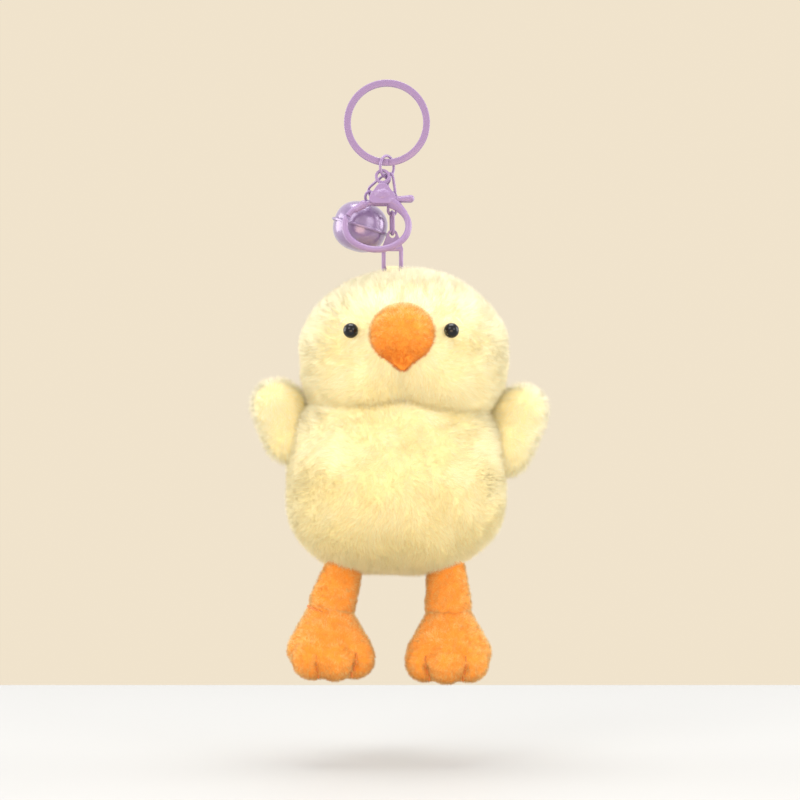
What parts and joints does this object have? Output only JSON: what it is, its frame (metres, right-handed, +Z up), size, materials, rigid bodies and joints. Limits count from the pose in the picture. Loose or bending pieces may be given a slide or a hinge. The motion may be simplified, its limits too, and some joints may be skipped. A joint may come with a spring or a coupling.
{
  "type": "plush keychain",
  "caption": "Stuffed plush chick hanging from a split ring by a short chain, with a lobster clasp and a jingle bell beside it.",
  "frame": {"origin": "the hang point, at the top of the split ring's inner wall", "axes": "+Z up along the hanging chain, the chick faces -Y, +X to the viewer's right"},
  "size_m": [0.1016, 0.078, 0.2094],
  "materials": {
    "lavender_metal": "glossy lavender lacquer over metal",
    "steel": "plain bright steel",
    "yellow_plush": "long soft pale yellow pile",
    "orange_plush": "short orange pile",
    "fibre": "loose white fibre",
    "ribbon": "flat woven ribbon",
    "thread": "twisted sewing thread",
    "black_bead": "glossy black",
    "washer_plastic": "plain moulded"
  },
  "bodies": {
    "ring": {"split_ring": "lavender_metal"},
    "jump_ring": {"top_jump_ring": "lavender_metal"},
    "clasp": {"clasp_frame": "lavender_metal", "clasp_rivet": "lavender_metal", "clasp_spring": "steel"},
    "gate": {"clasp_gate": "lavender_metal"},
    "bell_link": {"bell_link": "lavender_metal"},
    "bell": {"bell_loop": "lavender_metal", "bell_upper_shell": "lavender_metal", "bell_lower_shell": "lavender_metal"},
    "pea": {"bell_pea": "steel"},
    "link_1": {"chain_link_1": "lavender_metal"},
    "link_2": {"chain_link_2": "lavender_metal"},
    "link_3": {"chain_link_3": "lavender_metal"},
    "bail": {"bail": "lavender_metal"},
    "head": {"hanging_ribbon": "ribbon", "head_cover": "yellow_plush", "head_stuffing": "fibre", "beak_cover": "orange_plush", "beak_stuffing": "fibre", "eye_left": "black_bead", "eye_right": "black_bead", "eye_washer_left": "washer_plastic", "eye_washer_right": "washer_plastic"},
    "body": {"body_cover": "yellow_plush", "body_stuffing": "fibre", "neck_thread": "thread"},
    "wing_left": {"wing_left_cover": "yellow_plush", "wing_left_stuffing": "fibre"},
    "wing_right": {"wing_right_cover": "yellow_plush", "wing_right_stuffing": "fibre"},
    "leg_left": {"leg_left_cover": "orange_plush", "leg_left_stuffing": "fibre", "foot_left_cover": "orange_plush", "foot_left_stuffing": "fibre", "ankle_thread_left": "thread", "toe_stitches_left": "thread"},
    "leg_right": {"leg_right_cover": "orange_plush", "leg_right_stuffing": "fibre", "foot_right_cover": "orange_plush", "foot_right_stuffing": "fibre", "ankle_thread_right": "thread", "toe_stitches_right": "thread"}
  },
  "joints": [
    {"name": "jump_ring_swing", "type": "hinge", "parent": "ring", "child": "jump_ring", "pos_m": [0, 0, -0.0264], "axis": [1, 0, 0], "range_deg": [-20, 20]},
    {"name": "clasp_swing", "type": "hinge", "parent": "jump_ring", "child": "clasp", "pos_m": [-0.00153, -0.00196, -0.03082], "axis": [-1, 0, 0], "range_deg": [0, 13]},
    {"name": "gate_open", "type": "hinge", "parent": "clasp", "child": "gate", "pos_m": [-0.00133, -0.00445, -0.03965], "axis": [0, -0.9563, 0.2924], "range_deg": [0, 28], "stiffness_Nm_per_rad": 0.02, "deforming": ["clasp_spring"]},
    {"name": "bell_link_swing", "type": "hinge", "parent": "jump_ring", "child": "bell_link", "pos_m": [0.00008, 0.0001, -0.03175], "axis": [1, 0, 0], "range_deg": [0, 10]},
    {"name": "bell_swing", "type": "hinge", "parent": "bell_link", "child": "bell", "pos_m": [-0.00566, 0.0064, -0.03626], "axis": [1, 0, 0], "range_deg": [0, 16]},
    {"name": "pea_rattle", "type": "slide", "parent": "bell", "child": "pea", "axis": [0, 0, 1], "range_m": [0, 0.007]},
    {"name": "link_1_swing", "type": "hinge", "parent": "jump_ring", "child": "link_1", "pos_m": [0.00095, 0.00122, -0.03142], "axis": [-0.5624, -0.7199, -0.4067], "range_deg": [0, 12]},
    {"name": "link_2_swing", "type": "hinge", "parent": "link_1", "child": "link_2", "pos_m": [0.00188, 0.00122, -0.03806], "axis": [0.7123, -0.6947, 0.1001], "range_deg": [0, 14]},
    {"name": "link_3_swing", "type": "hinge", "parent": "link_2", "child": "link_3", "pos_m": [0.00177, 0.00122, -0.04476], "axis": [-0.866, -0.5, 0], "range_deg": [0, 14]},
    {"name": "bail_swing", "type": "hinge", "parent": "link_3", "child": "bail", "pos_m": [0.00188, 0.00122, -0.05145], "axis": [-0.2588, 0.9659, 0], "range_deg": [-14, 14]},
    {"name": "chick_nod", "type": "hinge", "parent": "bail", "child": "head", "pos_m": [0.00188, 0.00122, -0.064], "axis": [1, 0, 0], "range_deg": [-20, 20]},
    {"name": "neck_turn", "type": "hinge", "parent": "head", "child": "body", "pos_m": [0.0045, 0.00122, -0.1125], "axis": [0, 0, 1], "range_deg": [-15, 15], "stiffness_Nm_per_rad": 0.05},
    {"name": "wing_left_flap", "type": "hinge", "parent": "body", "child": "wing_left", "pos_m": [-0.0328, 0.00122, -0.1322], "axis": [0, -1, 0], "range_deg": [0, 45], "stiffness_Nm_per_rad": 0.05},
    {"name": "wing_right_flap", "type": "hinge", "parent": "body", "child": "wing_right", "pos_m": [0.0406, 0.00122, -0.1356], "axis": [0, 1, 0], "range_deg": [0, 45], "stiffness_Nm_per_rad": 0.05},
    {"name": "leg_left_swing", "type": "hinge", "parent": "body", "child": "leg_left", "pos_m": [-0.0154, -0.00178, -0.169], "axis": [-1, 0, 0], "range_deg": [-25, 40], "stiffness_Nm_per_rad": 0.03},
    {"name": "leg_right_swing", "type": "hinge", "parent": "body", "child": "leg_right", "pos_m": [0.0207, -0.00178, -0.169], "axis": [-1, 0, 0], "range_deg": [-25, 40], "stiffness_Nm_per_rad": 0.03}
  ]
}
